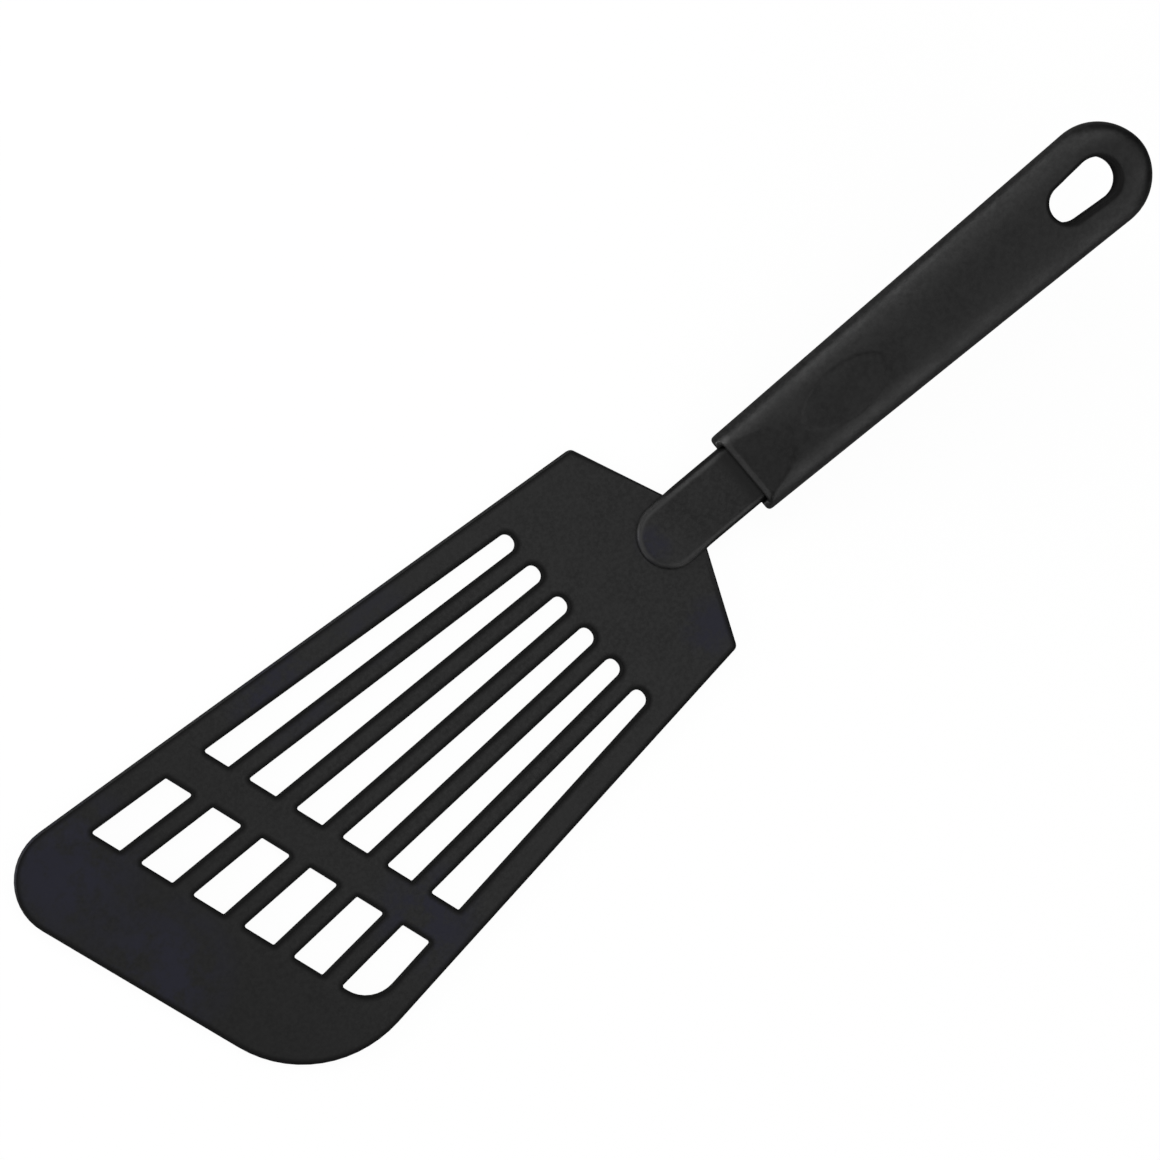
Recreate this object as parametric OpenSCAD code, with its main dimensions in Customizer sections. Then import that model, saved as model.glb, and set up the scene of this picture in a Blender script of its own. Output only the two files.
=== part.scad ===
// Slotted turner for frying pans: a flexible nylon blade, a stiff neck and a moulded handle.
// The origin is on the blade's underside, on the middle line between its two shoulders.
// +X runs along the middle line to the handle's tip, and +Z points up out of the blade's top face.

/* [Blade outline] */
// Width across the two shoulders, at the handle end of the blade
shoulder_w = 64.4; // [56:0.2:76]
// Length on the middle line, from the shoulders to the front edge
blade_l = 163.2; // [155:0.2:180]
// Angle by which each long side flares out towards the front
flare_deg = 5.5; // [2:0.5:8]
// Slant of the front edge from square
front_slant_deg = 17.4; // [10:0.2:24]
// Radius of the leading front corner
lead_corner_r = 13.8; // [8:0.2:20]
// Radius of the trailing front corner
trail_corner_r = 31; // [16:0.5:34]
// Radius of the two shoulder corners
shoulder_r = 1.6; // [0.4:0.1:4]
// How far the heel reaches behind the shoulders, under the neck
heel_l = 10.9; // [8:0.1:14]
// Width of the heel's end, which the neck covers
heel_w = 15; // [8:0.2:16]

/* [Blade thickness] */
// Thickness of the blade
blade_t = 2; // [1.6:0.1:3]
// Thickness of the front edge
edge_t = 0.9; // [0.6:0.1:1.4]
// Width of the bevel that thins the front edge
bevel_l = 15; // [8:0.5:20]
// Distance from the shoulders to where the blade starts to curve up
camber_start = 100; // [80:1:120]
// Height that the leading corner is curved up by
camber_rise = 3.2; // [1:0.1:6]

/* [Slots] */
// Number of bars between the slots
bars = 5; // [3:1:5]
// Width of a bar
bar_w = 5.2; // [4:0.05:5.6]
// Spacing of the bars at the slots' handle end
bar_pitch_root = 10; // [9.6:0.1:10.4]
// Spacing of the bars at the slots' front end
bar_pitch_front = 13.45; // [12.6:0.05:13.6]
// Sideways drift of the middle bar at the front end
bar_drift = 1.4; // [0:0.1:2]
// Further sideways shift of the short slots' bars
short_bar_shift = -0.45; // [-0.8:0.05:0.2]
// Extra spacing of the short slots' bars
short_bar_spread = 0.14; // [0:0.02:0.2]
// Width of the land between a slot and the blade's long side
side_land = 7.3; // [6:0.1:9]
// Slant of the slots' front ends and of the crossbar
slot_slant_deg = 16.9; // [10:0.1:22]
// Distance from the shoulders to the long slots' handle end
long_slot_start = 25.4; // [22:0.2:36]
// Distance from the short slots' front end to the front edge, on the middle line
front_land = 26.3; // [24:0.1:32]
// Length of the short slots
short_slot_l = 21.1; // [17:0.1:24]
// Width of the crossbar between the short slots and the long ones
crossbar_w = 10.6; // [8:0.1:16]
// Radius in the corners of the slots' straight ends
slot_corner_r = 0.5; // [0.3:0.1:1.5]
// Radius at the slots' handle end
slot_root_r = 2.2; // [1:0.1:2.25]
// Radius of the slot corner that follows the trailing front corner
slot_trail_r = 8.8; // [4:0.2:9]

/* [Neck] */
// Width of the neck
neck_w = 17.2; // [16:0.2:18]
// Thickness of the neck
neck_t = 3.4; // [3:0.1:3.6]
// Thickness of the neck's round end, which lies on the blade
pad_t = 1.6; // [1.4:0.1:2.4]
// Width of the rounding on the neck's upper edges
neck_edge_w = 2.2; // [0.6:0.1:2.6]
// Height of the rounding on the neck's upper edges
neck_edge_h = 2.8; // [0.6:0.1:2.9]
// How far the neck's round end reaches in front of the shoulders
pad_reach = 3.4; // [1:0.2:8]
// Distance from the shoulders to the start of the bend
bend_start = 11.3; // [11:0.1:14]
// Inside radius of the bend, on the upper face
bend_r = 12; // [6:0.5:20]
// Angle at which the handle rises from the blade
rise_deg = 15; // [8:0.5:22]

/* [Stakes and tang] */
// Radius of a stake's shank
stake_r = 2; // [1.5:0.1:2.4]
// Radius of a stake's head
stake_head_r = 3.3; // [2.8:0.1:3.6]
// Height of a stake's head
stake_head_h = 1; // [0.6:0.1:1.2]
// Distance between the two stakes
stake_gap = 8.4; // [8:0.1:9]
// Distance from the shoulders back to the two stakes
stake_x = 4.6; // [4.4:0.1:5.6]
// Length of full neck width held in the handle's mouth
mouth_l = 7; // [5:0.5:10]
// Width of the tang
tang_w = 11; // [9:0.5:12]
// Length of the tang beyond the mouth
tang_l = 42; // [30:1:60]
// How far the tang's flat faces lie inside the neck's
tang_sink = 0.3; // [0.2:0.05:0.5]
// Radius on the tang's upper edges
tang_edge_r = 0.8; // [0.3:0.1:1.2]
// Length of the barb on each side of the tang
barb_l = 6; // [4:0.5:10]
// Height of the barb on each side of the tang
barb_h = 1; // [0.5:0.1:1.5]
// Clearance between neck and handle, and between stake and hole
fit = 0.15; // [0.1:0.05:0.25]

/* [Handle] */
// Distance along the neck from the bend to the handle's lower front edge
collar_s = 14.6; // [12:0.2:20]
// Length of the handle
handle_l = 127.4; // [115:0.1:140]
// Width of the handle at the collar
collar_w = 23; // [22:0.2:25]
// Width of the handle at its round end
end_w = 27; // [25:0.2:30]
// Height of the crown above the handle's widest line, at the collar
crown_h = 8; // [7.5:0.1:9]
// Height of the crown above the handle's widest line, at the round end
crown_end_h = 6; // [5:0.1:8]
// Depth of the belly below the widest line, at the collar
belly_h = 5; // [4:0.1:5.6]
// Depth of the belly below the widest line, at the round end
belly_end_h = 5; // [4:0.1:8]
// Extra depth of the belly in the middle of the grip
belly_swell = 1.2; // [0:0.1:3]
// Drop of the handle's widest line below the neck's underside
seat_drop = 0.4; // [0:0.1:1.5]
// Radius on the collar's front edge
collar_r = 1; // [0.6:0.1:2]
// Setback of the lip from the collar's lower front edge
lip_back = 3.5; // [2.4:0.1:4]
// Length of the thumb ramp behind the lip
ramp_l = 13.6; // [9:0.1:18]
// Depth of the thumb ramp at the lip
ramp_h = 1.85; // [1:0.05:2.2]
// Length of the brow that slopes up to the lip
brow_l = 1.8; // [1:0.1:2]
// Slope of the brow
brow_deg = 33; // [20:1:40]

/* [Plain oval] */
// Distance from the lip to the middle of the oval
oval_s = 29.7; // [26:0.1:40]
// Length of the oval
oval_l = 25.4; // [16:0.2:28]
// Width of the oval
oval_w = 12.4; // [8:0.2:14]
// Depth of the oval recess
oval_h = 0.35; // [0.2:0.05:0.8]

/* [Hang hole] */
// Distance from the hole to the handle's tip
hole_land = 8.8; // [6:0.1:12]
// Length of the hole
hole_l = 19.4; // [14:0.2:26]
// Radius of the hole's inner end
hole_r = 4.8; // [3.5:0.1:5.4]
// Radius of the hole's end next to the tip
hole_end_r = 5.5; // [4.5:0.1:6.5]
// Width of the chamfer round the hole's rims
hole_chamfer = 0.5; // [0.3:0.1:1.2]

/* [Hidden] */

black_nylon = "#2c2c2e";
black_grip = "#262627";

// Overrun of every cut past the face that it opens
over = 1;
// Steps in the camber, round the neck's end, along its pad and its bend, and over its upper edges
camber_steps = 14;
pad_steps = 12;
wedge_steps = 6;
bend_steps = 6;
edge_steps = 5;
// Steps round the larger and the smaller arcs
wide_steps = 14;
root_steps = 8;
tight_steps = 3;
round_fn = 64;
// Sides of the handle's section, and rings along its grip and its round end
section_sides = 36;
grip_rings = 12;
end_rings = 9;
collar_rings = 3;
// Exponents of the handle's rounded section, at the collar and at the round end, and of its tip in side view
section_power = 2.3;
end_power = 3;
tip_power = 6;

shoulder_y = shoulder_w / 2;
flare = tan(flare_deg);
front_slope = tan(front_slant_deg);
slot_slope = tan(slot_slant_deg);

// The rows in which the slots end, as distances from the shoulders on the middle line
short_slot_end = blade_l - front_land;
short_slot_start = short_slot_end - short_slot_l;
long_slot_end = short_slot_start - crossbar_w;

// The bend's corner on the neck's underside, from which lengths along the handle are counted
under_r = bend_r + neck_t;
bend_x = bend_start + under_r * tan(rise_deg / 2);
// Length of the bend on the neck's underside
bend_l = under_r * rise_deg * PI / 180;
handle_end = collar_s + handle_l;
end_r = end_w / 2;
end_s = handle_end - end_r;
lip_s = collar_s + lip_back;
lip_z = crown_h - ramp_h - seat_drop;
hole_far_s = handle_end - hole_land - hole_end_r;
hole_near_s = handle_end - hole_land - hole_l + hole_r;
tang_s = collar_s + mouth_l;
tang_u = bend_start + bend_l + tang_s - under_r * tan(rise_deg / 2);
// Where the neck's sloping top face meets the pad's level one, and the reach of the eased turn there
wedge_u = bend_start + bend_l / 2 - (neck_t - pad_t) / tan(rise_deg);
wedge_ease = neck_t;
// How far the steep back of each barb leans over its height
barb_lean = barb_h / 4;
pad_x = neck_w / 2 - pad_reach;

// Where a row line, x = -x0 - slope * y, meets an edge line, y = y0 + m * x
function meet(x0, slope, y0, m) = let(x = (-x0 - slope * y0) / (1 + slope * m)) [x, y0 + m * x];

function unit(v) = v / norm(v);

// The arc of radius r that rounds the corner b between a and c
function corner(a, b, c, r, steps) =
    let(
        u = unit(a - b),
        v = unit(c - b),
        half = acos(u * v) / 2,
        centre = b + unit(u + v) * r / sin(half),
        from = b + u * r / tan(half) - centre,
        to = b + v * r / tan(half) - centre,
        start = atan2(from.y, from.x),
        turn = (atan2(to.y, to.x) - start + 540) % 360 - 180
    )
    [for (k = [0:steps]) centre + r * [cos(start + turn * k / steps), sin(start + turn * k / steps)]];

// A closed outline with one radius and one number of steps for each corner
function rounded(points, radii, steps) =
    let(n = len(points))
    [for (i = [0:n - 1])
        each corner(points[(i + n - 1) % n], points[i], points[(i + 1) % n], radii[i], steps[i])];

// The blade's long sides are y = side * (shoulder_y - flare * x)
function blade_outline() =
    let(
        lead = meet(blade_l, front_slope, shoulder_y, -flare),
        trail = meet(blade_l, front_slope, -shoulder_y, flare)
    )
    rounded(
        [[0, shoulder_y], lead, trail, [0, -shoulder_y], [heel_l, -heel_w / 2], [heel_l, heel_w / 2]],
        [shoulder_r, lead_corner_r, trail_corner_r, shoulder_r, slot_corner_r, slot_corner_r],
        [tight_steps, wide_steps, wide_steps, tight_steps, tight_steps, tight_steps]
    );

// The middle of bar i at x, counted from the middle bar. The bars fan out towards the front
function bar_y(i, x) =
    let(
        share = (-x - long_slot_start) / (short_slot_end - long_slot_start),
        pitch = bar_pitch_root + (bar_pitch_front - bar_pitch_root) * share
    )
    bar_drift * share + i * pitch;

// An edge of a slot as [y at x = 0, slope]. Edge 0 is the lowest, and 2 * bars + 1 the highest.
// A bar's own two edges are moved by shift, and by spread for each bar that it is off the middle
function slot_edge(e, shift, spread) =
    e == 0 ? [-shoulder_y + side_land, flare] :
    e == 2 * bars + 1 ? [shoulder_y - side_land, -flare] :
    let(
        i = floor((e - 1) / 2) - (bars - 1) / 2,
        side = e % 2 == 1 ? -1 : 1,
        y0 = bar_y(i, 0) + side * bar_w / 2 + shift + i * spread
    )
    [y0, (bar_y(i, -short_slot_end) - bar_y(i, 0)) / -short_slot_end];

// A slot between a lower and an upper edge and between two rows, each row as [distance, slope]
function slot_outline(low, high, root, front, radii, steps) =
    rounded(
        [
            meet(root[0], root[1], high[0], high[1]),
            meet(front[0], front[1], high[0], high[1]),
            meet(front[0], front[1], low[0], low[1]),
            meet(root[0], root[1], low[0], low[1])
        ],
        radii, steps
    );

module slots() {
    for (k = [0:bars]) {
        trail_r = k == 0 ? slot_trail_r : slot_corner_r;
        trail_steps = k == 0 ? root_steps : tight_steps;
        polygon(slot_outline(
            slot_edge(2 * k, 0, 0), slot_edge(2 * k + 1, 0, 0),
            [long_slot_start, 0], [long_slot_end, slot_slope],
            [slot_root_r, slot_corner_r, slot_corner_r, slot_root_r],
            [root_steps, tight_steps, tight_steps, root_steps]
        ));
        polygon(slot_outline(
            slot_edge(2 * k, short_bar_shift, short_bar_spread),
            slot_edge(2 * k + 1, short_bar_shift, short_bar_spread),
            [short_slot_start, slot_slope], [short_slot_end, slot_slope],
            [slot_corner_r, slot_corner_r, trail_r, slot_corner_r],
            [tight_steps, tight_steps, trail_steps, tight_steps]
        ));
    }
}

// Side view of the plate: flat from the heel, then curved up on one radius
blade_reach = blade_l + front_slope * (shoulder_y + flare * blade_l) + over;
camber_l = blade_reach - camber_start;
camber_r = (camber_l * camber_l + camber_rise * camber_rise) / (2 * camber_rise);
camber_deg = asin(camber_l / camber_r);

function camber_line(lift) =
    [for (k = [0:camber_steps])
        let(a = camber_deg * k / camber_steps)
        [-camber_start - (camber_r - lift) * sin(a), camber_r - (camber_r - lift) * cos(a)]];

module plate_side() {
    under = camber_line(0);
    top = camber_line(blade_t);
    polygon(concat(
        [[heel_l + over, 0]],
        under,
        [for (k = [camber_steps:-1:0]) top[k]],
        [[heel_l + over, blade_t]]
    ));
}

// The bevel is a plane that leaves edge_t at the front edge and runs out bevel_l behind it
module front_bevel() {
    mid_deg = asin((blade_l - camber_start) / camber_r);
    front_z = camber_r * (1 - cos(mid_deg));
    bevel_deg = atan((blade_t - edge_t) / bevel_l);
    translate([-blade_l, 0, front_z + edge_t])
        rotate([0, mid_deg, 0])
            rotate([0, 0, front_slant_deg])
                rotate([0, -bevel_deg, 0])
                    translate([-shoulder_w, -blade_l, 0])
                        cube([2 * shoulder_w, 2 * blade_l, shoulder_w]);
}

module stake_places() {
    for (side = [-1, 1])
        translate([stake_x, side * stake_gap / 2, 0]) children();
}

// One stake, or with a clearance the hole for it: a shank through the blade and a head flush below
module stake(clearance, low, high) {
    shank_r = stake_r + clearance;
    head_r = stake_head_r + clearance;
    rotate_extrude($fn = round_fn)
        polygon([
            [0, low], [head_r, low], [head_r, fit],
            [shank_r, stake_head_h], [shank_r, high], [0, high]
        ]);
}

module blade() {
    color(black_nylon)
    difference() {
        intersection() {
            rotate([90, 0, 0])
                linear_extrude(height = 2 * blade_l, center = true) plate_side();
            linear_extrude(height = blade_l) polygon(blade_outline());
        }
        translate([0, 0, -over])
            linear_extrude(height = blade_t + camber_rise + 2 * over) slots();
        front_bevel();
        stake_places() stake(fit, -over, blade_t + over);
    }
}

// Triangles that join each ring of n points to the next one, up to the ring numbered last
function side_faces(n, last) = concat(
    [for (j = [0:last - 1], k = [0:n - 1])
        [j * n + k, (j + 1) * n + k, (j + 1) * n + (k + 1) % n]],
    [for (j = [0:last - 1], k = [0:n - 1])
        [j * n + k, (j + 1) * n + (k + 1) % n, j * n + (k + 1) % n]]
);

// Places its children in the handle's own frame, with +X along the handle from the bend's corner
module along_handle() {
    translate([bend_x, 0, blade_t]) rotate([0, -rise_deg, 0]) children();
}

// A point of the neck: u along its underside from the shoulders, v across, and h above the underside
function neck_point(u, v, h) =
    let(
        turn = rise_deg * max(0, min(1, (u - bend_start) / bend_l)),
        straight = max(0, u - bend_start - bend_l)
    )
    [
        min(u, bend_start) + (under_r - h) * sin(turn) + straight * cos(turn),
        v,
        blade_t + under_r - (under_r - h) * cos(turn) + straight * sin(turn)
    ];

// 0 below -ease and x above it, with a smooth turn between them
function eased(x, ease) = x < -ease ? 0 : x > ease ? x : pow(x + ease, 2) / (4 * ease);

// Thickness of the neck at u. Its top face runs on at the handle's slope until it meets the pad's
function neck_h(u) =
    let(left = bend_start + bend_l - u, slope = tan(rise_deg))
    left < 0 ? neck_t :
    left < bend_l ? neck_t - slope * left * left / (2 * bend_l) :
    min(neck_t, pad_t + slope * eased(u - wedge_u, wedge_ease));

// A ring round the neck, up its right side and down its left one, with rounded upper edges.
// On the round end, slew is the ring's angle round the end's centre at u, and elsewhere it is 0.
// Edge is the rounding's [width, height], and sink is how far the flat faces lie inside the neck's own
function neck_ring(u, half, slew, edge, sink) =
    let(
        levels = concat([[0, sink]],
            [for (k = [0:edge_steps])
                let(a = 90 * k / edge_steps)
                [edge[0] * (1 - cos(a)), neck_t - sink - edge[1] * (1 - sin(a))]]),
        right = [for (level = levels)
            let(x = u - (half - level[0]) * sin(slew))
            neck_point(x, (half - level[0]) * cos(slew), level[1] * neck_h(x) / neck_t)]
    )
    concat(right, [for (k = [len(right) - 1:-1:0]) [right[k].x, -right[k].y, right[k].z]]);

// The neck from its round end, round the bend, to the tang's tip
function neck_rings() =
    let(
        tip_u = tang_u + tang_l,
        barb_u = tang_u + tang_l / 2,
        half = neck_w / 2,
        edge = [neck_edge_w, neck_edge_h],
        tang = [
            [tang_u, 0], [barb_u - barb_lean, 0], [barb_u, barb_h],
            [barb_u + barb_l, 0], [tip_u - tang_w / 4, 0], [tip_u, -tang_w / 4]
        ]
    )
    concat(
        [for (k = [pad_steps:-1:1]) neck_ring(pad_x, half, 90 * (k - 1 / 2) / pad_steps, edge, 0)],
        [for (k = [0:wedge_steps - 1])
            neck_ring(pad_x + (bend_start - pad_x) * k / wedge_steps, half, 0, edge, 0)],
        [for (k = [0:bend_steps]) neck_ring(bend_start + bend_l * k / bend_steps, half, 0, edge, 0)],
        [neck_ring(tang_u, half, 0, edge, 0)],
        [for (place = tang)
            neck_ring(place[0], tang_w / 2 + place[1], 0, [tang_edge_r, tang_edge_r], tang_sink)]
    );

// Strips between the two halves of a ring close the skin at its first and its last ring
module neck_form() {
    rings = neck_rings();
    n = len(rings[0]);
    last = len(rings) - 1;
    strips = [for (k = [0:n / 2 - 2]) each [[k, k + 1, n - 2 - k], [k, n - 2 - k, n - 1 - k]]];
    polyhedron(
        [for (ring = rings) each ring],
        concat(
            strips,
            side_faces(n, last),
            [for (f = strips) [last * n + f[0], last * n + f[2], last * n + f[1]]]
        )
    );
}

// The socket's pocket seen from above: the tang with its barbs, grown by the clearance
module tang_pocket() {
    half = tang_w / 2 + fit;
    tip_s = tang_s + tang_l + fit;
    barb_s = tang_s + tang_l / 2;
    side = [
        [tang_s - over, half],
        [barb_s - barb_lean - fit, half],
        [barb_s - fit, half + barb_h],
        [barb_s, half + barb_h],
        [barb_s + barb_l, half],
        [tip_s - tang_w / 4, half],
        [tip_s, half - tang_w / 4]
    ];
    polygon(concat(side, [for (k = [len(side) - 1:-1:0]) [side[k].x, -side[k].y]]));
}

module neck() {
    color(black_nylon) {
        neck_form();
        stake_places() stake(0, 0, blade_t + pad_t / 2);
    }
}

// Width and heights of the handle at s, before its ends are rounded
function grip_share(s) = (s - collar_s) / (end_s - collar_s);
function grip_y(s) = (collar_w + (end_w - collar_w) * min(1, grip_share(s))) / 2;
function grip_top(s) = crown_h + (crown_end_h - crown_h) * grip_share(s);
function grip_low(s) =
    belly_h + (belly_end_h - belly_h) * grip_share(s) + belly_swell * sin(180 * min(1, grip_share(s)));
// The section grows squarer over the last part of the grip
function grip_power(s) = section_power + (end_power - section_power) * pow(grip_share(s), 4);

// A ring as [distance, half width, height of the crown, depth of the belly, exponent of the section]
function collar_ring(a) =
    let(s = collar_s + collar_r * (1 - sin(a)), cut = collar_r * (1 - cos(a)))
    [s, grip_y(s) - cut, grip_top(s) - cut, grip_low(s) - cut, section_power];
function grip_ring(s) = [s, grip_y(s), grip_top(s), grip_low(s), grip_power(s)];
function end_ring(a) =
    let(s = end_s + end_r * sin(a), thin = pow(1 - pow(sin(a), tip_power), 1 / tip_power))
    [s, end_r * cos(a), grip_top(end_s) * thin, grip_low(end_s) * thin, end_power];

function handle_rings() = concat(
    [for (k = [0:collar_rings - 1]) collar_ring(90 - 90 * k / collar_rings)],
    [for (k = [0:grip_rings - 1])
        grip_ring(collar_s + collar_r + (end_s - collar_s - collar_r) * k / grip_rings)],
    [for (k = [0:end_rings - 1]) end_ring(90 * k / end_rings)]
);

function power(x, p) = sign(x) * pow(abs(x), p);

// The points of one ring, with its crown lowered by inset
function section(ring, inset) =
    [for (k = [0:section_sides - 1])
        let(a = 360 * k / section_sides, up = sin(a))
        [
            ring[0],
            ring[1] * power(cos(a), 2 / ring[4]),
            (up > 0 ? ring[2] - inset : ring[3]) * power(up, 2 / ring[4])
        ]];

// The handle's outer form, closed by a flat face at the collar and a point at the tip
module handle_form(inset) {
    list = handle_rings();
    n = section_sides;
    last = len(list) - 1;
    points = concat(
        [for (ring = list) each section(ring, inset)],
        [[handle_end, 0, 0]]
    );
    faces = concat(
        [[for (k = [0:n - 1]) k]],
        side_faces(n, last),
        [for (k = [0:n - 1]) [last * n + k, len(points) - 1, last * n + (k + 1) % n]]
    );
    translate([0, 0, -seat_drop]) polyhedron(points, faces);
}

// The hang hole's outline: two round ends and their common tangents, grown by a width
module hole_ends(grow) {
    translate([hole_near_s, 0]) circle(r = hole_r + grow, $fn = round_fn);
    translate([hole_far_s, 0]) circle(r = hole_end_r + grow, $fn = round_fn);
}

module hole_outline() {
    lean = asin((hole_end_r - hole_r) / (hole_far_s - hole_near_s));
    side = [-sin(lean), cos(lean)];
    near = [hole_near_s, 0];
    far = [hole_far_s, 0];
    hole_ends(0);
    polygon([
        near + hole_r * side,
        [near.x + hole_r * side.x, -hole_r * side.y],
        [far.x + hole_end_r * side.x, -hole_end_r * side.y],
        far + hole_end_r * side
    ]);
}

// A chamfer that opens upwards from z
module rim_chamfer(z, up) {
    translate([0, 0, z])
        hull() {
            linear_extrude(height = over / 10, center = true) hole_ends(0);
            translate([0, 0, up * 2 * hole_chamfer])
                linear_extrude(height = over / 10, center = true) hole_ends(2 * hole_chamfer);
        }
}

// The socket: a mouth for the neck's full width, then a pocket for the tang and its barbs
module socket() {
    translate([collar_s - over, -neck_w / 2 - fit, -fit])
        cube([mouth_l + over + fit, neck_w + 2 * fit, neck_t + 2 * fit]);
    translate([0, 0, tang_sink - fit])
        linear_extrude(height = neck_t - 2 * tang_sink + 2 * fit) tang_pocket();
}

// Seen from the side: level with the mouth's roof, straight up to the brow, up to the lip and the ramp
module collar_cut() {
    roof_z = neck_t + fit;
    brow_s = lip_s - brow_l;
    rotate([90, 0, 0])
        linear_extrude(height = 2 * collar_w, center = true)
            polygon([
                [collar_s - over, roof_z],
                [brow_s, roof_z],
                [brow_s, lip_z - brow_l * tan(brow_deg)],
                [lip_s, lip_z],
                [lip_s + 2 * ramp_l, lip_z + 2 * ramp_h],
                [lip_s + 2 * ramp_l, 2 * crown_h],
                [collar_s - over, 2 * crown_h]
            ]);
}

module oval_outline() {
    translate([lip_s + oval_s, 0])
        polygon([for (k = [0:round_fn - 1])
            [oval_l / 2 * cos(360 * k / round_fn), oval_w / 2 * sin(360 * k / round_fn)]]);
}

module handle() {
    color(black_grip)
    along_handle()
    difference() {
        handle_form(0);
        difference() {
            linear_extrude(height = 2 * crown_h) oval_outline();
            handle_form(oval_h);
        }
        collar_cut();
        socket();
        linear_extrude(height = 4 * crown_h, center = true) hole_outline();
        rim_chamfer(crown_end_h - seat_drop - hole_chamfer, 1);
        rim_chamfer(-belly_end_h - seat_drop + hole_chamfer, -1);
    }
}

blade();
neck();
handle();
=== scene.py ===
"""A slotted turner for frying pans: a flexible nylon blade, a stiff neck and a moulded grip.

All sizes named here are in millimetres, except where a comment says otherwise. The grip is
built in them and scaled to metres at the end. The blade and the neck start in metres.
The blade lies on z = 0, and the grip rises along +X.
"""
import math

import bmesh
import bpy
from bmesh.types import BMEdge, BMFace, BMVert
from mathutils import Matrix, Vector


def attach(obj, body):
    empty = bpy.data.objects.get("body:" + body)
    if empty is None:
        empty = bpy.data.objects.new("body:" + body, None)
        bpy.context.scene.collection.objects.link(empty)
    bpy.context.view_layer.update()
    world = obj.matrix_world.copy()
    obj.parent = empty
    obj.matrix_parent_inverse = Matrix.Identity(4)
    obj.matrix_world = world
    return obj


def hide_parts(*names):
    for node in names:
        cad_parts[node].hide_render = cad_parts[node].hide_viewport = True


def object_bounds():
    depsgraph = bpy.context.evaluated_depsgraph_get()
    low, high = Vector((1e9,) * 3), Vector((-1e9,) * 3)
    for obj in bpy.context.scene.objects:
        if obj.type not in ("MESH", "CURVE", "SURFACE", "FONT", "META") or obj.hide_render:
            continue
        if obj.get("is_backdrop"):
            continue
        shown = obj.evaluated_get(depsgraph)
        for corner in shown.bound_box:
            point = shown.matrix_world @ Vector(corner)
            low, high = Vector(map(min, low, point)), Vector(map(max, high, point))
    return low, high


MM = 0.001
QUARTER = math.pi / 2

# Radii of the blade's rims, above and below, and of the neck's
TOP_RIM = 0.6
LOW_RIM = 0.25
NECK_RIM = 0.2
RIM_STEPS = 4
RIM_PROFILE = 0.5
# Faces that turn by more than this have a rim between them
RIM_ANGLE = math.radians(40)
# Faces that turn by less than this are one flat face
FLAT_ANGLE = math.radians(0.5)
# Corners closer than this are one corner
BLADE_WELD = 0.08
NECK_WELD = 0.0005
# A face that looks up by more than this belongs to a plate's top
UP = 0.982

# Width of the blade's top face over which the painted shade of its rims fades out
RIM_FADE = 1.1
# A rim longer than this goes round the blade, and a shorter one round a slot
OUTLINE_L = 100
# A rim shorter than this goes round a stake
STAKE_W = 8
# The blade's outline gets less painted shade where it faces left, towards the lamps, by more than
# this
LIT_SIDE = 0.25
LIT_SIDE_SHADE = 0.2
# Shading weight at which only the largest faces count
LARGE_FACES = 100

# The blade curves up from here to beyond its front edge
CAMBER_START = 100
CAMBER_L = 79.2
CAMBER_RISE = 3.2
CAMBER_R = (CAMBER_L ** 2 + CAMBER_RISE ** 2) / (2 * CAMBER_RISE)
CAMBER_STEP = 4

# Where the grip's own frame starts, and how steeply it rises
BEND_X = 13.327
BLADE_T = 2
RISE = math.radians(15)

# Grip, along its own middle line from the bend
COLLAR_S = 14.6
GRIP_L = 127.4
COLLAR_W = 23
END_W = 27
CROWN_H = 8
CROWN_END_H = 6
BELLY_H = 5
BELLY_END_H = 5
BELLY_SWELL = 1.2
SEAT_DROP = 0.4
COLLAR_R = 1
SECTION_POWER = 2.3
END_POWER = 3
TIP_POWER = 6
# The section turns squarer mostly near its end
LATE_POWER = 4
GRIP_END = COLLAR_S + GRIP_L
END_R = END_W / 2
END_S = GRIP_END - END_R

# Collar face, lip and thumb ramp
LIP_S = 18.1
LIP_Z = 5.75
BROW_L = 1.8
BROW = math.radians(33)
RAMP_L = 13.6
RAMP_H = 1.85

# Socket for the neck and its tang
NECK_W = 17.2
NECK_T = 3.4
FIT = 0.15
MOUTH_L = 7
TANG_W = 11
TANG_L = 42
TANG_SINK = 0.3
TANG_CHAMFER = TANG_W / 4
BARB_L = 6
BARB_H = 1
BARB_BACK = BARB_H / 4
POCKET_LAP = 1

# Plain oval
OVAL_S = LIP_S + 29.7
OVAL_L = 25.4
OVAL_W = 12.4
OVAL_H = 0.35
OVAL_EDGE = 0.8

# Hang hole
HOLE_LAND = 8.8
HOLE_L = 19.4
HOLE_NEAR_R = 4.8
HOLE_FAR_R = 5.5
HOLE_ROUND = 0.7
# The hole's painted shade reaches this far beyond its wall, and fades out over as much again
HOLE_DARK = 0.65
HOLE_FAR_S = GRIP_END - HOLE_LAND - HOLE_FAR_R
HOLE_NEAR_S = GRIP_END - HOLE_LAND - HOLE_L + HOLE_NEAR_R

# Fineness of the grip
SECTION_SIDES = 96
GRIP_RINGS = 40
END_RINGS = 28
COLLAR_RINGS = 5
HOLE_STEPS = 24
ROUND_STEPS = 5
VOXEL = 0.42
SMOOTH_PASSES = 4
SMOOTH_FACTOR = 0.5
# A cutter goes this far beyond what it cuts
OVER = 4


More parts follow.
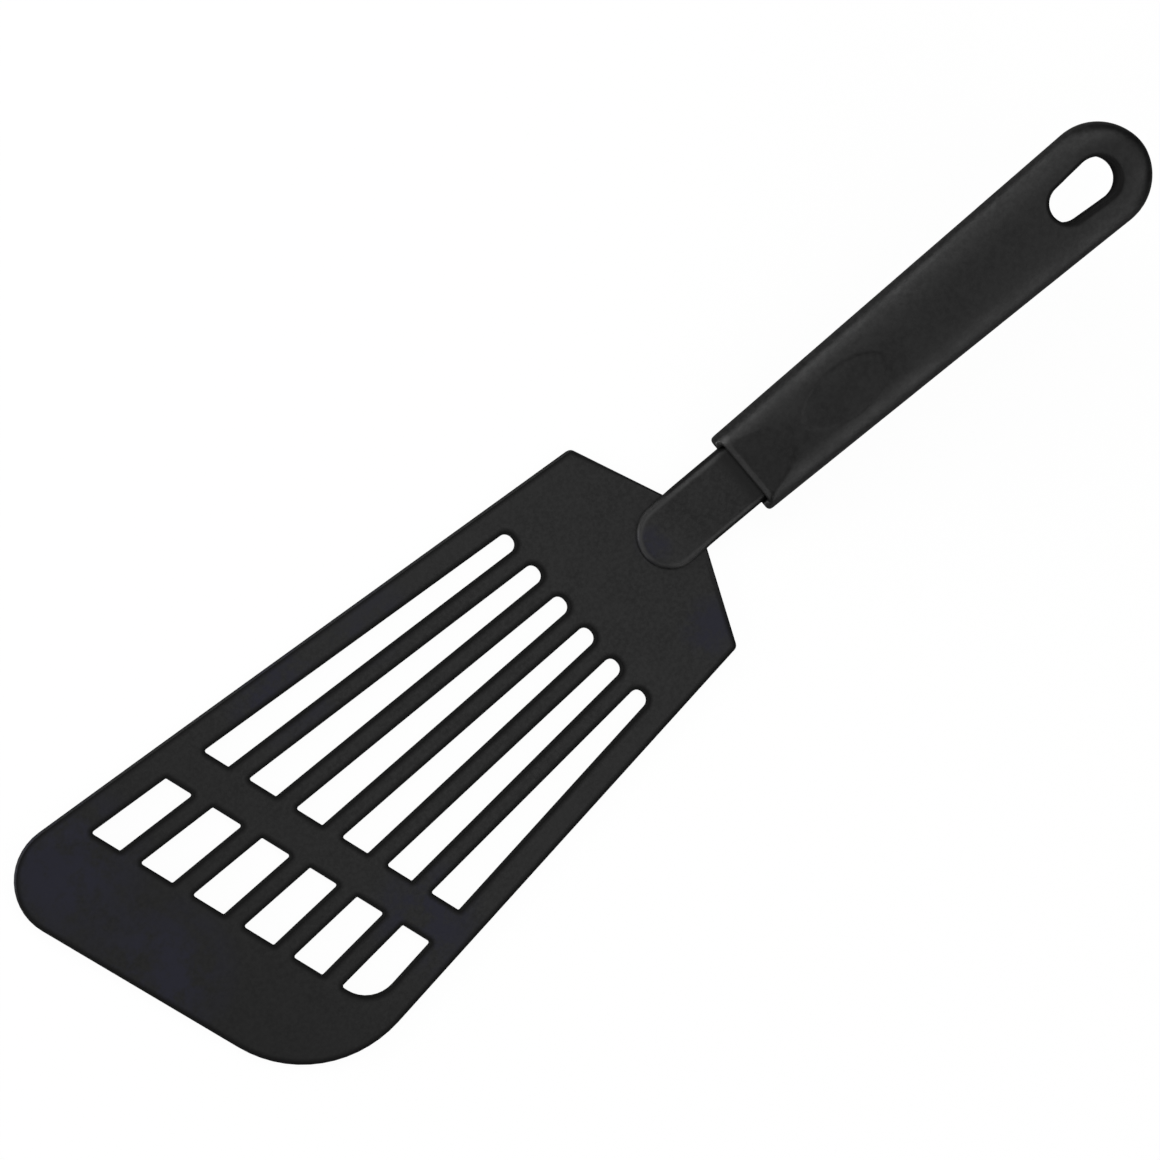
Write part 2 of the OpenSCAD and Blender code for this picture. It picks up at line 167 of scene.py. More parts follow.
def tower(rings):
    """A closed form through rings of equally many points: one ring, extruded along them all."""
    bm = bmesh.new()
    place = bm.verts.layers.int.new("place")
    verts = bmesh.ops.create_circle(bm, segments=len(rings[0]), radius=1)["verts"]
    for k, vert in enumerate(verts):
        vert[place] = k
    first = edges = list(bm.edges)
    for ring in rings:
        if ring is not rings[0]:
            made = bmesh.ops.extrude_edge_only(bm, edges=edges)["geom"]
            verts = [g for g in made if isinstance(g, BMVert)]
            ends = set(verts)
            edges = [g for g in made if isinstance(g, BMEdge) and ends.issuperset(g.verts)]
        for vert in verts:
            vert.co = ring[vert[place]]
    for cap in (first, edges):
        bmesh.ops.contextual_create(bm, geom=cap)
    bmesh.ops.recalc_face_normals(bm, faces=bm.faces)
    return bm


def linked(name, bm):
    """A new object in the scene. It uses the bmesh up."""
    mesh = bpy.data.meshes.new(name)
    bm.to_mesh(mesh)
    bm.free()
    thing = bpy.data.objects.new(name, mesh)
    bpy.context.scene.collection.objects.link(thing)
    return thing


def soften(bm):
    """Shades every face smooth."""
    for face in bm.faces:
        face.smooth = True


def settle(thing):
    """Replaces an object's mesh by what its modifiers make of it."""
    graph = bpy.context.evaluated_depsgraph_get()
    mesh = bpy.data.meshes.new_from_object(thing.evaluated_get(graph))
    thing.modifiers.clear()
    thing.data = mesh


def cut(body, *cutters):
    """Takes each cutter's shape out of the body."""
    for cutter in cutters:
        tool = linked("cutter", cutter)
        carve = body.modifiers.new("carve", "BOOLEAN")
        carve.operation = "DIFFERENCE"
        carve.solver = "EXACT"
        carve.object = tool
        settle(body)
        bpy.data.objects.remove(tool)


# Grip


def power(value, exponent):
    """A power that keeps the sign of its value."""
    return math.copysign(abs(value) ** exponent, value)


def section(s, half, top, low, squareness):
    """A ring round the grip: a rounded section with a crown and a flatter belly."""
    ring = []
    for k in range(SECTION_SIDES):
        turn = 2 * math.pi * k / SECTION_SIDES
        up = power(math.sin(turn), 2 / squareness)
        height = (top if up > 0 else low) * up - SEAT_DROP
        ring.append((s, half * power(math.cos(turn), 2 / squareness), height))
    return ring


def grip_section(s, inset=0):
    """The ring at a place along the grip, drawn in by an inset."""
    share = (s - COLLAR_S) / (END_S - COLLAR_S)
    half = (COLLAR_W + (END_W - COLLAR_W) * share) / 2
    top = CROWN_H + (CROWN_END_H - CROWN_H) * share
    low = BELLY_H + (BELLY_END_H - BELLY_H) * share + BELLY_SWELL * math.sin(math.pi * share)
    squareness = SECTION_POWER + (END_POWER - SECTION_POWER) * share ** LATE_POWER
    return section(s, half - inset, top - inset, low - inset, squareness)


def grip_blank():
    """The grip before anything is cut, from its rounded collar to its round tip."""
    rings = []
    for k in range(COLLAR_RINGS):
        turn = QUARTER * (1 - k / COLLAR_RINGS)
        s = COLLAR_S + COLLAR_R * (1 - math.sin(turn))
        rings.append(grip_section(s, COLLAR_R * (1 - math.cos(turn))))
    start = COLLAR_S + COLLAR_R
    for k in range(GRIP_RINGS):
        rings.append(grip_section(start + (END_S - start) * k / GRIP_RINGS))
    for k in range(END_RINGS):
        turn = QUARTER * k / END_RINGS
        thin = (1 - math.sin(turn) ** TIP_POWER) ** (1 / TIP_POWER)
        half = END_R * math.cos(turn)
        s = END_S + END_R * math.sin(turn)
        rings.append(section(s, half, CROWN_END_H * thin, BELLY_END_H * thin, END_POWER))
    return tower(rings)


def collar_cutter():
    """Seen from the side: level over the neck, straight up, then up the brow and the ramp."""
    roof = NECK_T + FIT
    side = [
        (COLLAR_S - OVER, roof),
        (LIP_S - BROW_L, roof),
        (LIP_S - BROW_L, LIP_Z - BROW_L * math.tan(BROW)),
        (LIP_S, LIP_Z),
        (LIP_S + 2 * RAMP_L, LIP_Z + 2 * RAMP_H),
        (LIP_S + 2 * RAMP_L, 2 * CROWN_H),
        (COLLAR_S - OVER, 2 * CROWN_H),
    ]
    return tower([[(s, y, z) for s, z in side] for y in (-COLLAR_W, COLLAR_W)])


def socket_cutters():
    """The mouth for the neck's full width, and the pocket for the tang and its barbs."""
    start = COLLAR_S + MOUTH_L
    barb = start + TANG_L / 2
    tip = start + TANG_L + FIT
    mouth_half = NECK_W / 2 + FIT
    half = TANG_W / 2 + FIT
    mouth = [(COLLAR_S - OVER, mouth_half), (start + FIT, mouth_half)]
    pocket = [
        (start - POCKET_LAP, half),
        (barb - FIT - BARB_BACK, half),
        (barb - FIT, half + BARB_H),
        (barb, half + BARB_H),
        (barb + BARB_L, half),
        (tip - TANG_CHAMFER, half),
        (tip, half - TANG_CHAMFER),
    ]
    for side, low, high in (
        (mouth, -FIT, NECK_T + FIT),
        (pocket, TANG_SINK - FIT, NECK_T - TANG_SINK + FIT),
    ):
        outline = side + [(s, -y) for s, y in reversed(side)]
        yield tower([[(s, y, z) for s, y in outline] for z in (low, high)])


def hole_outline(grow, z):
    """Two round ends and the straight lines that touch both."""
    lean = math.asin((HOLE_FAR_R - HOLE_NEAR_R) / (HOLE_FAR_S - HOLE_NEAR_S))
    ends = (
        (HOLE_NEAR_S, HOLE_NEAR_R + grow, QUARTER + lean, math.pi - 2 * lean),
        (HOLE_FAR_S, HOLE_FAR_R + grow, -QUARTER - lean, math.pi + 2 * lean),
    )
    outline = []
    for middle, radius, start, sweep in ends:
        for k in range(HOLE_STEPS + 1):
            turn = start + sweep * k / HOLE_STEPS
            outline.append((middle + radius * math.cos(turn), radius * math.sin(turn), z))
    return outline


def hole_cutter():
    """A tapered slot whose rims open in a quarter round on the crown and on the belly."""
    top = CROWN_END_H - SEAT_DROP
    low = -BELLY_END_H - SEAT_DROP
    arc = []
    for k in range(ROUND_STEPS + 1):
        turn = QUARTER * k / ROUND_STEPS
        arc.append((HOLE_ROUND * (1 - math.sin(turn)), HOLE_ROUND * (1 - math.cos(turn))))
    levels = [(HOLE_ROUND, low - OVER)]
    levels += [(grow, low + depth) for grow, depth in arc]
    levels += [(grow, top - depth) for grow, depth in reversed(arc)]
    levels += [(HOLE_ROUND, top + OVER)]
    return tower([hole_outline(grow, z) for grow, z in levels])


def smooth_step(value):
    """Rises from 0 to 1 with soft ends, as its value does."""
    value = max(0.0, min(1.0, value))
    return value * value * (3 - 2 * value)


def press_oval(bm):
    """Presses the plain oval into the crown. The middle of its soft wall lies on its outline."""
    for vert in bm.verts:
        if vert.co.z > 0:
            off = math.hypot((vert.co.x - OVAL_S) / (OVAL_L / 2), vert.co.y / (OVAL_W / 2))
            inside = (1 - off) * OVAL_W / 2
            vert.co.z -= OVAL_H * smooth_step(inside / OVAL_EDGE + 0.5)


def off_hole(s, y):
    """Distance from the hang hole's wall, below zero inside it."""
    share = max(0.0, min(1.0, (s - HOLE_NEAR_S) / (HOLE_FAR_S - HOLE_NEAR_S)))
    middle = HOLE_NEAR_S + (HOLE_FAR_S - HOLE_NEAR_S) * share
    return math.hypot(s - middle, y) - HOLE_NEAR_R - (HOLE_FAR_R - HOLE_NEAR_R) * share


def make_grip():
    """The grip, cut and then given one smooth skin. Its painted shade is 1 in the hang hole."""
    grip = linked("grip_moulding", grip_blank())
    cut(grip, collar_cutter(), *socket_cutters(), hole_cutter())
    skin = grip.modifiers.new("skin", "REMESH")
    skin.mode = "VOXEL"
    skin.voxel_size = VOXEL
    settle(grip)
    bm = bmesh.new()
    bm.from_mesh(grip.data)
    for _ in range(SMOOTH_PASSES):
        bmesh.ops.smooth_vert(
            bm, verts=bm.verts, factor=SMOOTH_FACTOR,
            use_axis_x=True, use_axis_y=True, use_axis_z=True,
        )
    press_oval(bm)
    shade = bm.verts.layers.float.new("shade")
    for vert in bm.verts:
        off = off_hole(vert.co.x, vert.co.y)
        vert[shade] = 1 - smooth_step((off - HOLE_DARK) / HOLE_DARK)
    place = Matrix.Translation((BEND_X, 0, BLADE_T)) @ Matrix.Rotation(-RISE, 4, "Y")
    bmesh.ops.transform(bm, matrix=Matrix.Scale(MM, 4) @ place, verts=bm.verts)
    soften(bm)
    bm.to_mesh(grip.data)
    bm.free()
    return grip


# Blade and neck


def loose(node, weld):
    """The node's own form, with the corners of its triangles merged."""
    bm = bmesh.new()
    bm.from_mesh(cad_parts[node].data)
    bmesh.ops.remove_doubles(bm, verts=bm.verts, dist=weld * MM)
    return bm


def whole(bm):
    """Merges the triangles of each flat face."""
    bmesh.ops.dissolve_limit(bm, angle_limit=FLAT_ANGLE, verts=bm.verts, edges=bm.edges)
    return bm


def arch(bm, way):
    """Curves the blade up towards its front edge, or lays it flat where way is -1."""
    for vert in bm.verts:
        off = max(0.0, -vert.co.x / MM - CAMBER_START)
        vert.co.z += way * (CAMBER_R - math.sqrt(CAMBER_R ** 2 - off ** 2)) * MM


def rims(bm):
    """The sharp edges of a form, in groups that follow one another."""
    sharp = [e for e in bm.edges if len(e.link_faces) == 2 and e.calc_face_angle() > RIM_ANGLE]
    left = set(sharp)
    for start in sharp:
        ends = [start] if start in left else []
        left.discard(start)
        group = []
        while ends:
            edge = ends.pop()
            group.append(edge)
            near = [e for vert in edge.verts for e in vert.link_edges if e in left]
            left.difference_update(near)
            ends += near
        if group:
            yield group


def span(group):
    """How far a group of edges reaches along X, in millimetres."""
    xs = [vert.co.x / MM for edge in group for vert in edge.verts]
    return max(xs) - min(xs)


def faces_up(edge):
    """Whether an edge belongs to a plate's top."""
    return any(face.normal.z > UP for face in edge.link_faces)


def round_off(bm, edges, rim):
    """Rounds edges off and gives the new faces."""
    made = bmesh.ops.bevel(
        bm, geom=edges, offset=rim * MM, segments=RIM_STEPS, profile=RIM_PROFILE,
        affect="EDGES", clamp_overlap=False, material=-1,
    )
    return made["faces"]


def refill(bm, faces):
    """Takes faces away, fills the gap with new triangles and gives those."""
    bmesh.ops.delete(bm, geom=faces, context="FACES")
    edges = [edge for edge in bm.edges if edge.is_boundary]
    made = bmesh.ops.triangle_fill(
        bm, edges=edges, normal=(0, 0, 1), use_beauty=True, use_dissolve=False,
    )
    return [g for g in made["geom"] if isinstance(g, BMFace)]


def mark(faces, shade, value):
    """Sets the shade of the corners of faces."""
    for face in faces:
        for vert in face.verts:
            vert[shade] = value


def slice_across(bm):
    """Cuts the blade's faces across in even steps, so that they can curve."""
    front = min(vert.co.x for vert in bm.verts) / MM
    for k in range(int((-front - CAMBER_START) / CAMBER_STEP) + 1):
        place = (-(CAMBER_START + k * CAMBER_STEP) * MM, 0, 0)
        parts = bm.verts[:] + bm.edges[:] + bm.faces[:]
        bmesh.ops.bisect_plane(bm, geom=parts, plane_co=place, plane_no=(1, 0, 0))


def plate(name, bm):
    """An object with even shading over its large faces."""
    soften(bm)
    thing = linked(name, bm)
    even = thing.modifiers.new("even", "WEIGHTED_NORMAL")
    even.weight = LARGE_FACES
    return thing


def make_blade():
    """The blade with rounded rims, worked on while it lies flat and curved afterwards.

    Its painted shade is 1 on the rims and walls and fades out over the top face.
    """
    bm = loose("blade", BLADE_WELD)
    arch(bm, -1)
    whole(bm)
    # The shade attribute carries painted shade on the rims and walls
    shade = bm.verts.layers.float.new("shade")
    low = [
        edge for group in rims(bm) if span(group) > STAKE_W
        for edge in group if not faces_up(edge)
    ]
    round_off(bm, low, LOW_RIM)
    for vert in bm.verts:
        vert[shade] = 1
    for group in list(rims(bm)):
        reach = span(group)
        if reach > STAKE_W:
            made = round_off(bm, group, TOP_RIM)
            # Outline faces that look towards the lamps get less painted shade
            lit_part = [face for face in made if reach > OUTLINE_L and face.normal.y > LIT_SIDE]
            mark(made, shade, 1)
            mark(lit_part, shade, LIT_SIDE_SHADE)
    top = [face for face in bm.faces if face.normal.z > UP]
    bmesh.ops.inset_region(
        bm, faces=top, thickness=RIM_FADE * MM, use_boundary=True, use_even_offset=False,
    )
    top = refill(bm, top)
    under = [face for face in bm.faces if face.normal.z < -UP]
    mark(top + under, shade, 0)
    slice_across(bm)
    arch(bm, 1)
    return plate("blade_plate", bm)


def make_neck():
    """The neck with all its rims rounded."""
    bm = whole(loose("neck", NECK_WELD))
    round_off(bm, [edge for group in rims(bm) for edge in group], NECK_RIM)
    return plate("neck_strap", bm)


# Finishes


class Wire:
    """A socket of a finish, on which sums and products add Math nodes."""

    def __init__(self, finish, socket):
        self.finish = finish
        self.socket = socket

    def __add__(self, other):
        return self.finish.calculated("ADD", self, other)

    def __sub__(self, other):
        return self.finish.calculated("SUBTRACT", self, other)

    def __mul__(self, other):
        return self.finish.calculated("MULTIPLY", self, other)

    def __pow__(self, other):
        return self.finish.calculated("POWER", self, other)

    def __abs__(self):
        return self.finish.calculated("ABSOLUTE", self, 0)

    __radd__ = __add__


class Finish:
    """The nodes of a material, or of the world. They all come from one method."""

    def __init__(self, holder):
        holder.use_nodes = True
        self.holder = holder
        self.tree = holder.node_tree
        self.tree.nodes.clear()

    def node(self, kind, settings, values, output=0):
        """Adds a node. Its settings are by name, and its inputs are numbers, colours or wires."""
        made = self.tree.nodes.new("ShaderNode" + kind)
        for name, setting in settings.items():
            setattr(made, name, setting)
        for key, value in values.items():
            if isinstance(value, Wire):
                self.tree.links.new(value.socket, made.inputs[key])
            else:
                made.inputs[key].default_value = value
        return Wire(self, made.outputs[output] if made.outputs else None)

    def calculated(self, operation, first, second):
        """What a Math node makes of two values."""
        return self.node("Math", {"operation": operation}, {0: first, 1: second})

    def places(self):
        """The place on the piece, in metres."""
        return self.node("TexCoord", {}, {}, output="Object")

    def along(self, axis):
        """The place on the piece along X, Y or Z, in millimetres."""
        return self.node("SeparateXYZ", {}, {"Vector": self.places()}, output=axis) * (1 / MM)

    def attribute(self, name):
        """A number that the mesh holds at its corners."""
        return self.node("Attribute", {"attribute_name": name}, {}, output="Fac")

    def noise(self, size, detail, roughness=0.5):
        """Cloudy noise from 0 to 1, whose patches are about size millimetres across."""
        return self.node("TexNoise", {}, {
            "Vector": self.places(),
            "Scale": 1 / (size * MM),
            "Detail": detail,
            "Roughness": roughness,
        })

    def ranged(self, value, low, high):
        """Stretches the part of a value between low and high to 0 and 1."""
        return self.node("MapRange", {}, {"Value": value, "From Min": low, "From Max": high})

    def patchy(self, size, detail, roughness, low, high):
        """Noise of which the part between low and high is stretched to 0 and 1."""
        return self.ranged(self.noise(size, detail, roughness), low, high)

    def patch(self, place, radius):
        """A soft round patch, 1 in its middle, at a place in millimetres."""
        middle = tuple(length * MM for length in place)
        ends = {0: self.places(), 1: middle}
        off = self.node("VectorMath", {"operation": "DISTANCE"}, ends, output="Value")
        return self.ranged(off, radius * MM, 0)

    def mixed(self, share, first, second):
        """A mix of two colours, by the share of the second."""
        return self.node("Mix", {"data_type": "RGBA"}, {0: share, 6: first, 7: second}, output=2)

    def bump(self, height):
        """Bumps from a height in millimetres."""
        return self.node("Bump", {}, {"Height": height, "Distance": MM, "Strength": 1.0})

    def end(self, surface, kind="OutputMaterial"):
        """Wires the surface to the output, and gives the finished material or world."""
        self.node(kind, {}, {"Surface": surface})
        return self.holder


def grey(tone, blue=0.0):
    """A colour from an 8-bit tone as a screen shows it, with some blue added."""
    def linear(level):
        return ((level / 255 + 0.055) / 1.055) ** 2.4
    return linear(tone), linear(tone), linear(tone + blue), 1


# Bluish patches of the nylon, each with its place and its radius in millimetres
BLUE_PATCHES = (
    ((-158, 38, 2), 22),
    ((-158, 4, 2), 20),
    ((-92, 36, 2), 16),
    ((-66, 36, 2), 14),
    ((-102, -30, 2), 16),
    ((-2, -24, 2), 9),
    ((0, 1, 4), 5.5),
)
# How much blue they have, how much of it shows, and the sum of patches that counts as full
BLUE = 20
BLUE_SHARE = 0.9
BLUE_FULL = 0.6

# Patchy noises: size in millimetres, detail, roughness, and the part stretched to 0 and 1
CLOUDS = (8, 5, 0.65, 0.38, 0.62)
MOTTLE = (1.1, 3, 0.7, 0.38, 0.62)
BLUE_CLOUDS = (7, 4, 0.7, 0.38, 0.56)
HIGHLIGHT_CLOUDS = (2.5, 3, 0.6, 0.1, 0.45)
GRIP_CLOUDS = (7, 5, 0.65, 0.38, 0.62)
GRIP_MOTTLE = (1.4, 3, 0.7, 0.38, 0.62)

# Noises of the surfaces, in the same order, and how high the fine ones rise in millimetres
NYLON_FLOW = (6, 3)
NYLON_RIPPLE = (3.2, 2)
NYLON_GRAIN = (0.35, 2)
GRIP_SPARK = (0.55, 3, 0.65)
RIPPLE_H = 0.01
GRAIN_H = 0.012
SPARK_H = 0.02

# Tone of the nylon, and by how much its parts differ from it
NYLON_TONE = 36
CLOUD_DARKER = 9
MOTTLE_PALER = 14
SIDE_PALER = 8
NECK_PALER = 1
# Painted highlight on the neck's rim
HIGHLIGHT_PALER = 30
# Painted shade on the neck at the grip's mouth
MOUTH_SHADE_DARKER = 16
BLUE_DARKER = 1
# Shares of the mottle, of the dark towards the front edge and of the paler sides
MOTTLE_SHARE = 0.8
DIM_SHARE = 0.5
SIDE_SHARE = 0.5
# Roughness of the nylon, and how far its flow spreads it
BLADE_ROUGH = 0.5
NECK_ROUGH = 0.46
ROUGH_SPREAD = 0.12
# Painted shade on walls and rims
SHADED_TONE = 6
SHADED_ROUGH = 0.9


def nylon_colour(finish, tone, dim=0):
    """Black nylon with a fine mottle, faint clouds and bluish patches. Dim makes it darker."""
    colour = finish.mixed(finish.patchy(*CLOUDS), grey(tone - CLOUD_DARKER), grey(tone))
    mottle = finish.patchy(*MOTTLE) * MOTTLE_SHARE
    colour = finish.mixed(mottle, colour, grey(tone + MOTTLE_PALER))
    colour = finish.mixed(dim * DIM_SHARE, colour, grey(SHADED_TONE))
    blue = sum(finish.patch(place, radius) for place, radius in BLUE_PATCHES)
    blue = finish.ranged(blue, 0, BLUE_FULL) * finish.patchy(*BLUE_CLOUDS) * BLUE_SHARE
    return finish.mixed(blue, colour, grey(tone - BLUE_DARKER, BLUE))


def nylon_surface(finish, colour, dark, rough):
    """A matt grain, and dull walls and rims with painted shade where dark is 1."""
    even = finish.noise(*NYLON_FLOW) * ROUGH_SPREAD + (rough - ROUGH_SPREAD / 2)
    height = finish.noise(*NYLON_GRAIN) * GRAIN_H + finish.noise(*NYLON_RIPPLE) * RIPPLE_H
    return finish.node("BsdfPrincipled", {}, {
        "Base Color": finish.mixed(dark, colour, grey(SHADED_TONE)),
        "Roughness": even + dark * (SHADED_ROUGH - rough),
        "Normal": finish.bump(height),
    })


# Where the blade darkens towards its front edge, in X
FRONT_DIM = (-90, -150)
# Where its sides are paler, in Y and in X
PALE_SIDE = (27, 35)
PALE_BACK = (-95, -70)


def blade_nylon():
    """The blade is darker towards its front edge and paler along its sides."""
    finish = Finish(bpy.data.materials.new("blade_nylon"))
    x, y = finish.along("X"), finish.along("Y")
    colour = nylon_colour(finish, NYLON_TONE, finish.ranged(x, *FRONT_DIM))
    side = finish.ranged(abs(y), *PALE_SIDE) * finish.ranged(x, *PALE_BACK)
    colour = finish.mixed(side * SIDE_SHARE, colour, grey(NYLON_TONE + SIDE_PALER))
    return finish.end(nylon_surface(finish, colour, finish.attribute("shade"), BLADE_ROUGH))


# Painted highlight along the neck's rim, as its distance from the middle line, and the painted
# shade of the side beyond it
HIGHLIGHT_RIM = 7.15
HIGHLIGHT_W = 0.6
SHADED_SIDE = (7.7, 8.1)
# Where the sides leave the blade and take painted shade
FREE_SIDE = (7, 12)
# Middle of the neck's round end, and how much further out the painted highlight lies in front of
# it
PAD_X = 5.2
PAD_SPREAD = 0.09
# Where painted shade darkens the neck towards the grip's mouth
MOUTH_SHADE = (23.5, 26.5)


def neck_nylon():
    """The neck's rim has a painted highlight, its sides have painted shade, and it has painted
    shade under the grip's brow.
    """
    finish = Finish(bpy.data.materials.new("neck_nylon"))
    x, y = finish.along("X"), finish.along("Y")
    front = finish.calculated("MINIMUM", x - PAD_X, 0)
    reach = (front * front + y * y) ** 0.5 + front * PAD_SPREAD
    # A painted highlight along the rim, broken up by patchy noise
    lit_part = finish.ranged(abs(reach - HIGHLIGHT_RIM), HIGHLIGHT_W, 0) * finish.patchy(*HIGHLIGHT_CLOUDS)
    colour = nylon_colour(finish, NYLON_TONE + NECK_PALER)
    colour = finish.mixed(lit_part, colour, grey(NYLON_TONE + HIGHLIGHT_PALER))
    # Painted shade where the neck goes under the grip's brow
    mouth = finish.ranged(x, *MOUTH_SHADE)
    colour = finish.mixed(mouth, colour, grey(NYLON_TONE - MOUTH_SHADE_DARKER))
    # Painted shade on the neck's free sides
    dark = finish.ranged(reach, *SHADED_SIDE) * finish.ranged(x, *FREE_SIDE)
    return finish.end(nylon_surface(finish, colour, dark, NECK_ROUGH))


def on_grip(s, y, z):
    """A place given in the grip's own frame, in millimetres."""
    return (
        BEND_X + s * math.cos(RISE) - z * math.sin(RISE),
        y,
        BLADE_T + s * math.sin(RISE) + z * math.cos(RISE),
    )


# The painted highlight on the collar's corner, and its radius
HIGHLIGHT_CORNER = on_grip(LIP_S - 0.7, 9.6, 4.5)
HIGHLIGHT_CORNER_R = 1.6

# Tones of the grip: between its clouds and on them, its mottle, and the painted highlight on the
# corner
GRIP_DARK_TONE = 23
GRIP_TONE = 33
GRIP_MOTTLE_TONE = 47
HIGHLIGHT_CORNER_TONE = 90
# Where the mottle, the plastic's own, rises to full on the grip's sides as a painted sheen, and
# its share along the middle
GRIP_SHEEN_SIDES = (6, 11)
MIDDLE_SHARE = 0.5
# Roughness of the grip, and what its clouds, its texture and the hole's painted shade add
GRIP_ROUGH = 0.33
CLOUD_ROUGH = 0.1
SPARK_ROUGH = 0.08
HOLE_ROUGH = 0.45


def grip_plastic():
    """Black satin plastic with a fine sparked texture and a painted highlight on the collar's
    corner, dull with painted shade inside the hole.
    """
    finish = Finish(bpy.data.materials.new("grip_plastic"))
    cloud = finish.patchy(*GRIP_CLOUDS)
    spark = finish.noise(*GRIP_SPARK)
    dark = finish.attribute("shade")
    side = finish.ranged(abs(finish.along("Y")), *GRIP_SHEEN_SIDES)
    mottle = finish.patchy(*GRIP_MOTTLE) * (side * (1 - MIDDLE_SHARE) + MIDDLE_SHARE)
    # A painted highlight on the collar's corner
    lit_part = finish.patch(HIGHLIGHT_CORNER, HIGHLIGHT_CORNER_R)
    colour = finish.mixed(cloud, grey(GRIP_DARK_TONE), grey(GRIP_TONE))
    colour = finish.mixed(mottle, colour, grey(GRIP_MOTTLE_TONE))
    colour = finish.mixed(lit_part, colour, grey(HIGHLIGHT_CORNER_TONE))
    rough = cloud * CLOUD_ROUGH + spark * SPARK_ROUGH + dark * HOLE_ROUGH + GRIP_ROUGH
    surface = finish.node("BsdfPrincipled", {}, {
        "Base Color": finish.mixed(dark, colour, grey(SHADED_TONE)),
        "Roughness": rough,
        "Normal": finish.bump(spark * SPARK_H),
    })
    return finish.end(surface)


def dress(piece, node, material):
    """Gives a piece its material. It rides the root body and replaces a node."""
    piece.data.materials.clear()
    piece.data.materials.append(material)
    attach(piece, "root")
    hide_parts(node)


# Studio

# Half the width of the floor in metres, and its gap below the blade
FLOOR_HALF = 4
FLOOR_GAP = 0.2
# Tone of the floor as the turner sees it
FLOOR_TONE = 150
# Share of the floor's own white in what the camera sees of it, and how bright that is
FLOOR_OWN = 0.9
FLOOR_WHITE = 1.065
# Strength of the light from all round
WORLD_LIGHT = 0.01

# Each softbox has its name, azimuth, elevation, width and watts
SOFTBOX_DISTANCE = 900
SOFTBOXES = (
    ("overhead", 0, 88, 500, 0.25),
    ("high_left", 60, 58, 500, 1.05),
    ("high_back", 180, 58, 500, 0.35),
    ("high_right", 300, 58, 500, 0.75),
    ("wall_left", 90, 32, 450, 0.55),
    ("wall_right", 270, 32, 450, 0.7),
    ("strip_left", 90, 12, 350, 0.75),
    ("strip_corner", 135, 12, 350, 2.25),
    ("strip_back", 180, 12, 350, 0.85),
    ("strip_right", 270, 12, 350, 0.4),
)

# Camera: the place that it looks at, how far from it, the lens, and its turns
AIM = Vector((-19.43, 6.48, 1.95))
DISTANCE = 850
LENS = 107.8
SENSOR_W = 36
ORBIT = math.radians(-11.925)
TILT = math.radians(-7.328)
ROLL = math.radians(-40.265)


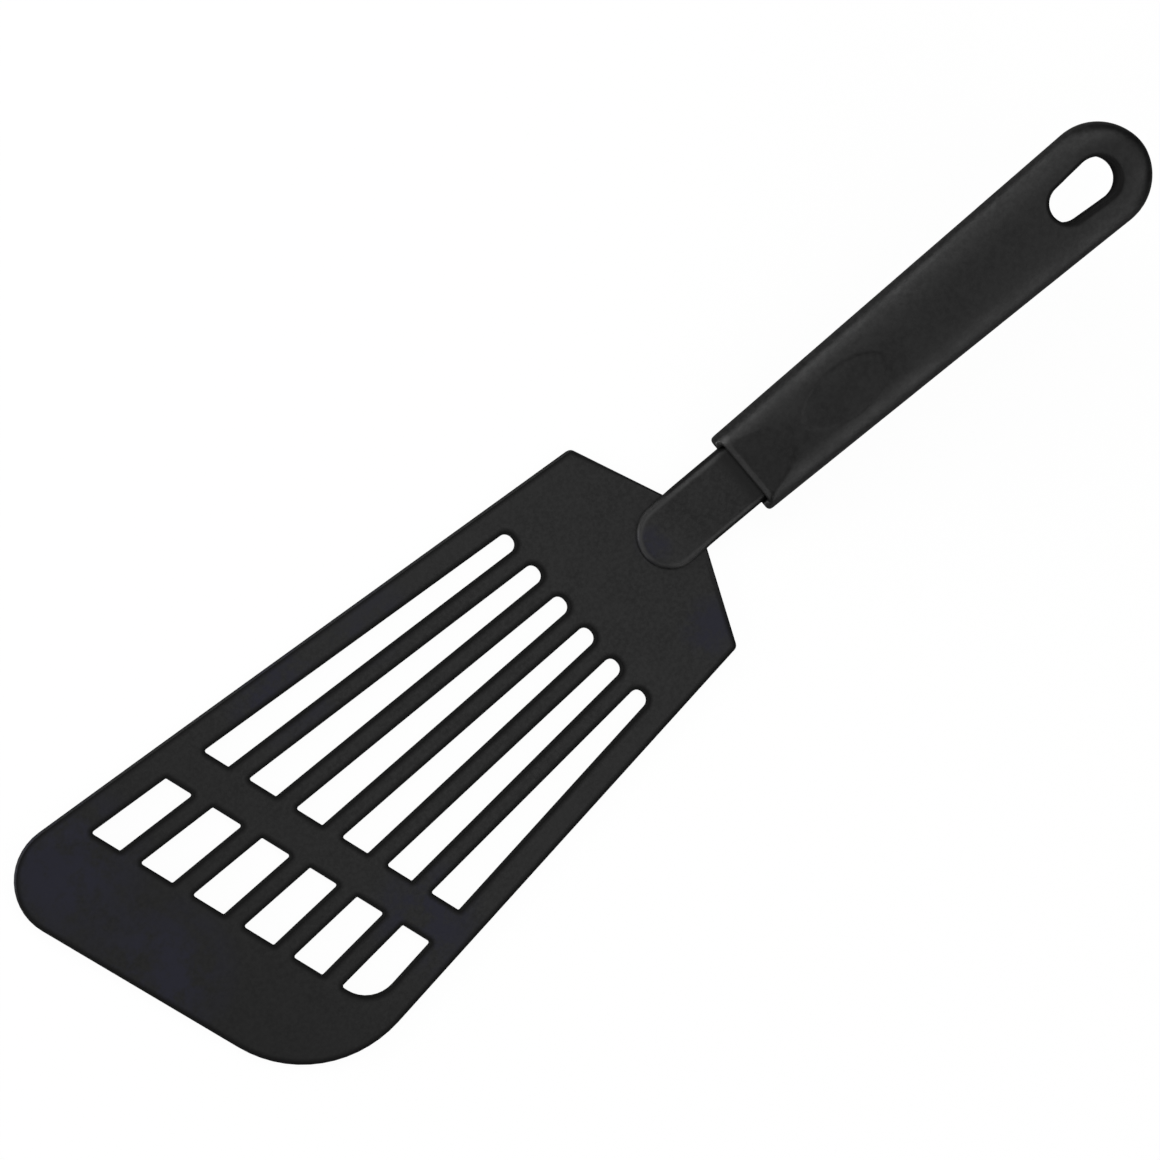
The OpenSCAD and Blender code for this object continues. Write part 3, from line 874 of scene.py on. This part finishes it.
def lay_floor():
    """A white table. The camera sees nearly only its own white, with the shadow left faint."""
    bm = bmesh.new()
    bmesh.ops.create_grid(bm, x_segments=1, y_segments=1, size=FLOOR_HALF)
    bmesh.ops.translate(bm, verts=bm.verts, vec=(0, 0, -FLOOR_GAP * MM))
    floor = linked("floor", bm)
    finish = Finish(bpy.data.materials.new("white_table"))
    seen = finish.node("LightPath", {}, {}, output="Is Camera Ray")
    tone = finish.mixed(seen, grey(FLOOR_TONE), grey(255))
    cloth = finish.node("BsdfDiffuse", {}, {"Color": tone})
    white = finish.node("Emission", {}, {"Color": grey(255), "Strength": FLOOR_WHITE})
    surface = finish.node("MixShader", {}, {0: seen * FLOOR_OWN, 1: cloth, 2: white})
    floor.data.materials.append(finish.end(surface))
    floor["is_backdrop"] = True


def light_world():
    """A nearly dark world, which the camera sees as a pale backdrop."""
    finish = Finish(bpy.data.worlds.new("studio"))
    seen = finish.node("LightPath", {}, {}, output="Is Camera Ray")
    fill = finish.node("Background", {}, {"Strength": WORLD_LIGHT})
    backdrop = finish.node("Background", {}, {})
    surface = finish.node("MixShader", {}, {0: seen, 1: fill, 2: backdrop})
    bpy.context.scene.world = finish.end(surface, "OutputWorld")


def hang(name, azimuth, elevation, size, watts):
    """A square softbox that faces the middle of the turner. Azimuth 0 is +X and 90 is +Y."""
    lamp = bpy.data.lights.new(name, "AREA")
    lamp.shape = "SQUARE"
    lamp.size = size * MM
    lamp.energy = watts
    stand = bpy.data.objects.new(name, lamp)
    turn, lift = math.radians(azimuth), math.radians(elevation)
    level = math.cos(lift)
    out = Vector((math.cos(turn) * level, math.sin(turn) * level, math.sin(lift)))
    stand.location = out * SOFTBOX_DISTANCE * MM
    stand.rotation_euler = out.to_track_quat("Z", "Y").to_euler()
    bpy.context.scene.collection.objects.link(stand)


def set_camera():
    """Looks down at the turner from the photo's place."""
    lens = bpy.data.cameras.new("camera")
    lens.lens = LENS
    lens.sensor_width = SENSOR_W
    camera = bpy.data.objects.new("camera", lens)
    turn = Matrix.Rotation(ORBIT, 4, "Y")
    turn = turn @ Matrix.Rotation(TILT, 4, "X") @ Matrix.Rotation(ROLL, 4, "Z")
    back = turn @ Vector((0, 0, DISTANCE))
    camera.matrix_world = Matrix.Translation((AIM + back) * MM) @ turn
    bpy.context.scene.collection.objects.link(camera)
    bpy.context.scene.camera = camera


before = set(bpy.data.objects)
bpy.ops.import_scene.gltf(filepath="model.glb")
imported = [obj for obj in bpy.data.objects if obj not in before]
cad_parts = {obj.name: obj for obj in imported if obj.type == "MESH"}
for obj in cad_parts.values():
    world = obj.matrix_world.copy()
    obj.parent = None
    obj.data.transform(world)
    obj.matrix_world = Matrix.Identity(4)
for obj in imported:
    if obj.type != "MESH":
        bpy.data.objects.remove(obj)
cad_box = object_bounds()

set_camera()
lay_floor()
light_world()
for softbox in SOFTBOXES:
    hang(*softbox)
bpy.context.scene.view_settings.view_transform = "Standard"

dress(make_blade(), "blade", blade_nylon())
dress(make_neck(), "neck", neck_nylon())
dress(make_grip(), "handle", grip_plastic())

boxes = {"cad": cad_box, "visual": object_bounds()}
{name: [list(corner) for corner in box] for name, box in boxes.items()}
